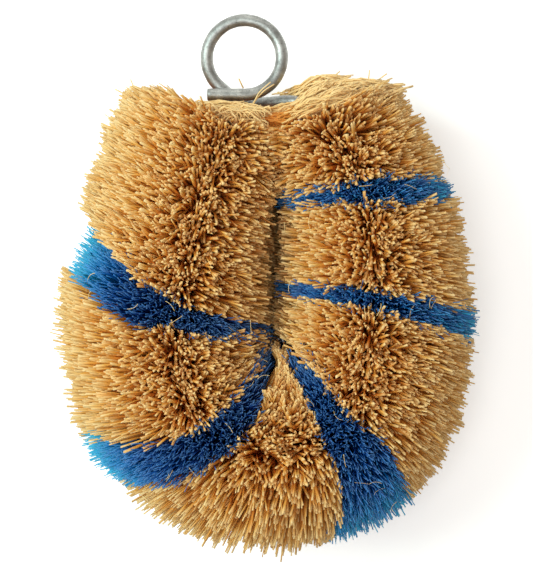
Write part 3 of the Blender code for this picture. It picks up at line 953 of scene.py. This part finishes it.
def blue_fibre():
    """Dyed fibre with a slight shine, deep blue: painted shade makes it nearly black inside the band, painted
    highlights paler at the tips.
    """
    material, tree, shader = new_material("blue_fibre", 0.38, 0.0)
    marks = marks_in(tree, 1.4)
    tones = (
        (0.00, (0.002, 0.028, 0.190)),
        (0.40, (0.002, 0.092, 0.390)),
        (0.70, (0.003, 0.270, 0.640)),
        (1.00, (0.015, 0.620, 0.880)),
    )
    feed(shader["Base Color"], fibre_colour(marks, tones, (
        # Painted shade: nearly black navy deep in the band.
        ("Depth", 0.9, (0.002, 0.022, 0.160)),
        ("Streak", 0.3, (0.002, 0.050, 0.260)),
        # Painted highlight: paler cyan blue at the cut tips.
        ("Cut End", 0.22, (0.14, 0.46, 0.72)),
    )))
    feed(shader["Roughness"], ramp(marks["Streak"], ((0.2, 0.30), (0.8, 0.50))))
    return material


blue = blue_fibre()
blue_names = ("left_upper", "left_lower", "right_lower", "right_middle", "right_upper")
for i, (name, (start, end)) in enumerate(zip(blue_names, blue_spans())):
    reach, outer_reach = FIBRE_REACH * BLUE_REACH_SHARES[i], FIBRE_REACH * BLUE_OUTER_SHARES[i]
    band = bunch_of_fibres(f"blue_{name}_looks", {
        **from_place(name, start, end, reach, outer_reach),
        "Fibres": round((end - start) * BLUE_PER_METRE),
        "Reach Spread Share": 0.12,
        "Thickness": BLUE_THICKNESS,
        "Start Share": 0.25,
        "Crown Flare": math.radians(1.2),
        "Outer Flare": OUTER_FLARES[i] / FIBRE_REACH,
        "Inner Flare": INNER_FLARES[i] / FIBRE_REACH,
        "Unruliness": math.radians(6),
        "Outer Room at Start": BLUE_OUTER_ROOM,
        "Outer Room at End": BLUE_OUTER_ROOM,
        "Seam Share": 0.90,
        "Slit Gap": SLIT_GAP * BLUE_SLIT_SHARES[i],
        "Segments": 5,
        "Curl": 0.0024,
        "Kink": 0.0011,
        "Tangle": 0.004,
        "Tangle Size": 0.006,
        "Clump Share": 0.30,
        "Clump Size": 0.0022,
        "Outer Painted Light": BLUE_OUTER_PAINTED_LIGHT[i],
        "Seed": 1000 + 100 * i,
        "Material": blue,
    })
    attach(band, "root")
    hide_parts(f"blue_band_{name}")


# Loose fibres
# Where the lobes meet under the ring, the hook has bent long palm fibres flat: they lie across under the ring
# and sweep up over the right lobe. A few single ones stick out, cross the wire, or curl over the blue.

LOOSE_THICKNESS = 0.00050
LOOSE_THICKNESS_SHARES = (0.6, 1.4)
LOOSE_STEPS = 9
LOOSE_SPREAD = 0.0018
LOOSE_WAVE = 0.0004
LOOSE_FLATNESS_SHARE = 0.7
LOOSE_MAP_WIDTH = 0.001
# The pale loose fibres take the colour of a fibre's pale tip along their whole length: painted light on
# fibres that lie on top. The dark ones take it from deeper along a fibre, with its painted red-brown shade.
PALE_TONES = (0.78, 0.99)
DARK_TONES = (0.10, 0.60)
PALE_SHARES = (0.94, 0.99)
DEEP_SHADE_SHARES = (0.62, 0.88)
SINGLE_THICKNESS_SHARE = 0.8
SINGLE_TONE = 0.95
HAIRS_PER_BAND = 9
HAIR_THICKNESS = 0.00013
HAIR_THICKNESS_SHARES = (0.6, 1.3)
HAIR_LENGTH = 0.0042
HAIR_TURNS = (-1.0, 1.3)
HAIR_HEIGHT_SHARES = (0.92, 1.0)
HAIR_CURL = 0.22
HAIR_HUG_SHARE = 0.5
HAIR_TONE = 0.98
HAIR_SHARES = (0.95, 0.995)

# Each row of swept fibres: how many, whether they are pale, and their curve from the neck in shares of the
# fibres' reach
SWEPT_SHARES = (
    (60, True, ((-0.39, -0.11, 0.23), (-0.19, -0.10, 0.27), (0.03, -0.11, 0.27), (0.22, -0.14, 0.23))),
    (60, True, ((-0.30, -0.17, 0.34), (-0.10, -0.13, 0.34), (0.12, -0.13, 0.34), (0.31, -0.17, 0.31))),
    (60, True, ((-0.17, -0.24, 0.42), (-0.04, -0.16, 0.42), (0.12, -0.16, 0.42), (0.23, -0.22, 0.38))),
    (60, True, ((0.03, -0.24, 0.42), (0.12, -0.16, 0.42), (0.27, -0.16, 0.42), (0.36, -0.22, 0.38))),
    (60, False, ((-0.20, -0.24, 0.30), (-0.06, -0.20, 0.34), (0.10, -0.20, 0.34), (0.30, -0.24, 0.30))),
    (60, True, ((0.11, -0.20, 0.31), (0.33, -0.16, 0.31), (0.58, -0.10, 0.27), (0.78, 0.00, 0.27))),
    (80, True, ((0.30, -0.24, 0.30), (0.50, -0.16, 0.31), (0.73, 0.00, 0.29), (0.97, 0.12, 0.29))),
    (90, True, ((0.42, 0.02, -0.25), (0.60, 0.06, -0.02), (0.82, 0.14, 0.15), (1.09, 0.16, 0.15))),
    (90, True, ((0.46, 0.00, -0.20), (0.76, -0.01, 0.15), (1.08, 0.10, 0.25), (1.42, 0.12, 0.22))),
    (60, True, ((0.66, -0.20, 0.32), (0.93, -0.09, 0.34), (1.26, 0.03, 0.31), (1.57, 0.07, 0.27))),
    (40, True, ((0.50, -0.20, 0.56), (0.72, -0.10, 0.56), (0.94, -0.01, 0.48), (1.16, 0.08, 0.38))),
    (40, True, ((0.88, -0.18, 0.56), (1.06, -0.10, 0.52), (1.24, -0.01, 0.44), (1.42, 0.08, 0.34))),
    (80, False, ((0.03, -0.31, 0.38), (0.23, -0.26, 0.42), (0.45, -0.22, 0.42), (0.65, -0.13, 0.38))),
    (80, False, ((-0.04, -0.39, 0.46), (0.16, -0.35, 0.50), (0.42, -0.37, 0.50), (0.62, -0.31, 0.46))),
    (60, False, ((0.67, -0.39, 0.46), (0.49, -0.42, 0.46), (0.31, -0.48, 0.42), (0.18, -0.46, 0.38))),
    (50, False, ((0.16, -0.53, 0.46), (0.27, -0.46, 0.50), (0.44, -0.44, 0.50), (0.58, -0.50, 0.46))),
    (26, True, ((-0.38, -0.30, 0.50), (-0.31, -0.14, 0.52), (-0.18, -0.15, 0.52), (-0.13, -0.32, 0.48))),
    (26, True, ((-0.16, -0.36, 0.52), (-0.10, -0.18, 0.55), (0.03, -0.20, 0.55), (0.05, -0.38, 0.50))),
    (26, True, ((0.05, -0.34, 0.52), (0.11, -0.20, 0.55), (0.24, -0.21, 0.55), (0.30, -0.36, 0.50))),
)
SINGLE_SHARES = (
    ((0.14, -0.12, 0.24), (0.20, -0.04, 0.30), (0.25, 0.05, 0.30), (0.35, 0.14, 0.27)),
    ((0.16, -0.13, 0.25), (0.21, -0.03, 0.28), (0.29, 0.06, 0.29), (0.38, 0.12, 0.25)),
    ((0.10, 0.09, 0.22), (0.08, 0.13, 0.26), (0.06, 0.17, 0.29)),
    ((0.84, 0.12, 0.15), (0.90, 0.18, 0.15), (0.98, 0.25, 0.11)),
    ((1.22, 0.08, 0.15), (1.24, 0.18, 0.15), (1.25, 0.26, 0.15)),
    ((1.24, 0.08, 0.11), (1.33, 0.17, 0.11), (1.41, 0.23, 0.11)),
    ((1.32, 0.09, 0.11), (1.45, 0.13, 0.11), (1.56, 0.14, 0.11)),
    ((-0.90, -0.03, 0.08), (-1.00, 0.05, 0.08), (-1.07, 0.09, 0.08)),
    ((-0.84, 0.00, 0.08), (-0.90, 0.11, 0.08), (-0.93, 0.18, 0.08)),
)


def thin_fibre(mesh, unrolled, path, thickness, tone, shares):
    """A fibre along the path. The two shares say which part of a standing fibre it takes its colours from."""
    side = (path[1] - path[0]).orthogonal().normalized()
    left = FIBRE_MAP_START[0] + FIBRE_MAP_SHARE * tone
    rings = []
    for i, centre in enumerate(path):
        ahead = (path[min(i + 1, len(path) - 1)] - path[max(i - 1, 0)]).normalized()
        side = (side - ahead * side.dot(ahead)).normalized()
        other = ahead.cross(side) * LOOSE_FLATNESS_SHARE
        ways = (side, other, -side, -other)
        rings.append([mesh.verts.new(centre + way * thickness / 2) for way in ways])
    places = [shares[0] + (shares[1] - shares[0]) * i / (len(path) - 1) for i in range(len(path))]
    map_across = [left + LOOSE_MAP_WIDTH * k for k in range(5)]
    map_ends = [
        [(u, v + LOOSE_MAP_WIDTH * 2 * (k % 2)) for k, u in enumerate(map_across[:4])]
        for v in (places[0], places[-1])
    ]
    skin(mesh, unrolled, rings, map_across, places, map_ends)


def near_neck(shares):
    return core_points[0] + Vector(shares) * FIBRE_REACH


def scattered(chance, size):
    return Vector([chance.uniform(-size, size) for _ in range(3)])


def swept_path(guide, chance):
    """One fibre of a swept tuft: a stretch of the tuft's curve, moved aside and waved a little."""
    curve = smooth_curve([near_neck(place) + scattered(chance, LOOSE_SPREAD) for place in guide], LOOSE_STEPS)
    first = chance.randint(0, LOOSE_STEPS)
    last = len(curve) - chance.randint(1, LOOSE_STEPS)
    steps = [first + round((last - first) * k / LOOSE_STEPS) for k in range(LOOSE_STEPS + 1)]
    return [curve[k] + scattered(chance, LOOSE_WAVE) * (i % 2) for i, k in enumerate(steps)]


def hair_path(start, end, chance):
    """A thin hair that has come out of its bunch and curls over the tips of a blue band."""
    s = chance.uniform(start, end)
    turn = chance.uniform(*HAIR_TURNS)
    side = core_tangent(s).cross(UP)
    radial = UP * math.cos(turn) + side * math.sin(turn)
    place = core_point(s) + radial * FIBRE_REACH * chance.uniform(*HAIR_HEIGHT_SHARES)
    heading = (core_tangent(s) * chance.uniform(-1, 1) + side * chance.uniform(-1, 1)).normalized()
    bend = scattered(chance, HAIR_CURL)
    path = [place]
    for _ in range(LOOSE_STEPS - 2):
        heading = (heading + bend - radial * heading.dot(radial) * HAIR_HUG_SHARE).normalized()
        path.append(path[-1] + heading * HAIR_LENGTH / LOOSE_STEPS)
    return path


loose_mesh = bmesh.new()
loose_map = loose_mesh.loops.layers.uv.new("OFBake")
chance = random.Random(21)
for count, pale, guide in SWEPT_SHARES:
    tones, shares = (PALE_TONES, PALE_SHARES) if pale else (DARK_TONES, DEEP_SHADE_SHARES)
    for _ in range(count):
        thickness = LOOSE_THICKNESS * chance.uniform(*LOOSE_THICKNESS_SHARES)
        path = swept_path(guide, chance)
        thin_fibre(loose_mesh, loose_map, path, thickness, chance.uniform(*tones), shares)
for guide in SINGLE_SHARES:
    path = smooth_curve([near_neck(place) for place in guide], LOOSE_STEPS // 2)
    thickness = LOOSE_THICKNESS * SINGLE_THICKNESS_SHARE
    thin_fibre(loose_mesh, loose_map, path, thickness, SINGLE_TONE, PALE_SHARES)
for start, end in blue_spans():
    for _ in range(HAIRS_PER_BAND):
        thickness = HAIR_THICKNESS * chance.uniform(*HAIR_THICKNESS_SHARES)
        path = hair_path(start, end, chance)
        thin_fibre(loose_mesh, loose_map, path, thickness, HAIR_TONE, HAIR_SHARES)
loose = placed_shell("loose_fibres_looks", loose_mesh)
loose.data.materials.append(palm)
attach(loose, "root")


# Floor
# A plain white table top under the brush. It takes the brush's soft shadow.

FLOOR_HALF_WIDTH = 1.5
FLOOR_GREY = 0.90
FLOOR_GLOW = 0.38


def white_floor():
    """White paint that looks white to the camera, also in the metal's reflections, and keeps its shadow."""
    material, tree, shader = new_material("white_floor", 0.9, 0.0)
    shader["Base Color"].default_value = (FLOOR_GREY, FLOOR_GREY, FLOOR_GREY, 1)
    shader["Emission Color"].default_value = (1, 1, 1, 1)
    path = node(tree, "ShaderNodeLightPath").outputs
    seen = plus(path["Is Camera Ray"], path["Is Glossy Ray"], path["Is Transmission Ray"])
    feed(shader["Emission Strength"], times(at_most(seen, 1.0), FLOOR_GLOW))
    return material


floor_mesh = bpy.data.meshes.new("floor")
corners = [(x * FLOOR_HALF_WIDTH, y * FLOOR_HALF_WIDTH, 0) for x, y in ((-1, -1), (1, -1), (1, 1), (-1, 1))]
floor_mesh.from_pydata(corners, [], [(0, 1, 2, 3)])
floor_mesh.materials.append(white_floor())
floor = placed("floor", floor_mesh)


# Light and camera
# Soft studio light: a big lamp from the upper left, weaker ones from the back, the right and above, and an
# even warm white room. The camera looks straight down, as in the photograph.

ROOM_COLOUR = (1, 0.95, 0.87)
ROOM_STRENGTH = 0.40
CAMERA_DISTANCE = 0.60
SENSOR = 0.036
VIEW_HEIGHT = 0.1354
VIEW_OFF_CORE = (-0.00096, 0.03984)

middle = Vector((0, 0, core_points[0].z))


def lamp(name, size, power, colour, place):
    """A square lamp that points at the middle of the brush."""
    data = bpy.data.lights.new(name, "AREA")
    data.size = size
    data.energy = power
    data.color = colour
    made = placed(name, data)
    made.location = place
    made.rotation_euler = (middle - Vector(place)).to_track_quat("-Z", "Y").to_euler()


lamp("key_lamp", 0.5, 7.7, (0.80, 1.0, 0.97), (-0.68, 0.16, 0.78))
lamp("back_lamp", 0.4, 1.9, (0.98, 1.0, 0.95), (0.06, 0.80, 0.40))
lamp("fill_lamp", 0.8, 0.45, (1.0, 0.82, 0.66), (0.8, -0.2, 0.6))
lamp("top_lamp", 0.3, 2.4, (1.0, 1.0, 1.0), (-0.15, -0.10, 1.0))

world = bpy.data.worlds.new("studio")
bpy.context.scene.world = world
world.use_nodes = True
room = world.node_tree.nodes["Background"].inputs
room["Color"].default_value = (*ROOM_COLOUR, 1)
room["Strength"].default_value = ROOM_STRENGTH

camera_data = bpy.data.cameras.new("camera")
camera_data.sensor_width = SENSOR * 1000
camera_data.lens = SENSOR * 1000 * CAMERA_DISTANCE / VIEW_HEIGHT
camera = placed("camera", camera_data)
camera.location = core_place + Vector((*VIEW_OFF_CORE, CAMERA_DISTANCE))
bpy.context.scene.camera = camera
bpy.context.scene.view_settings.view_transform = "Standard"
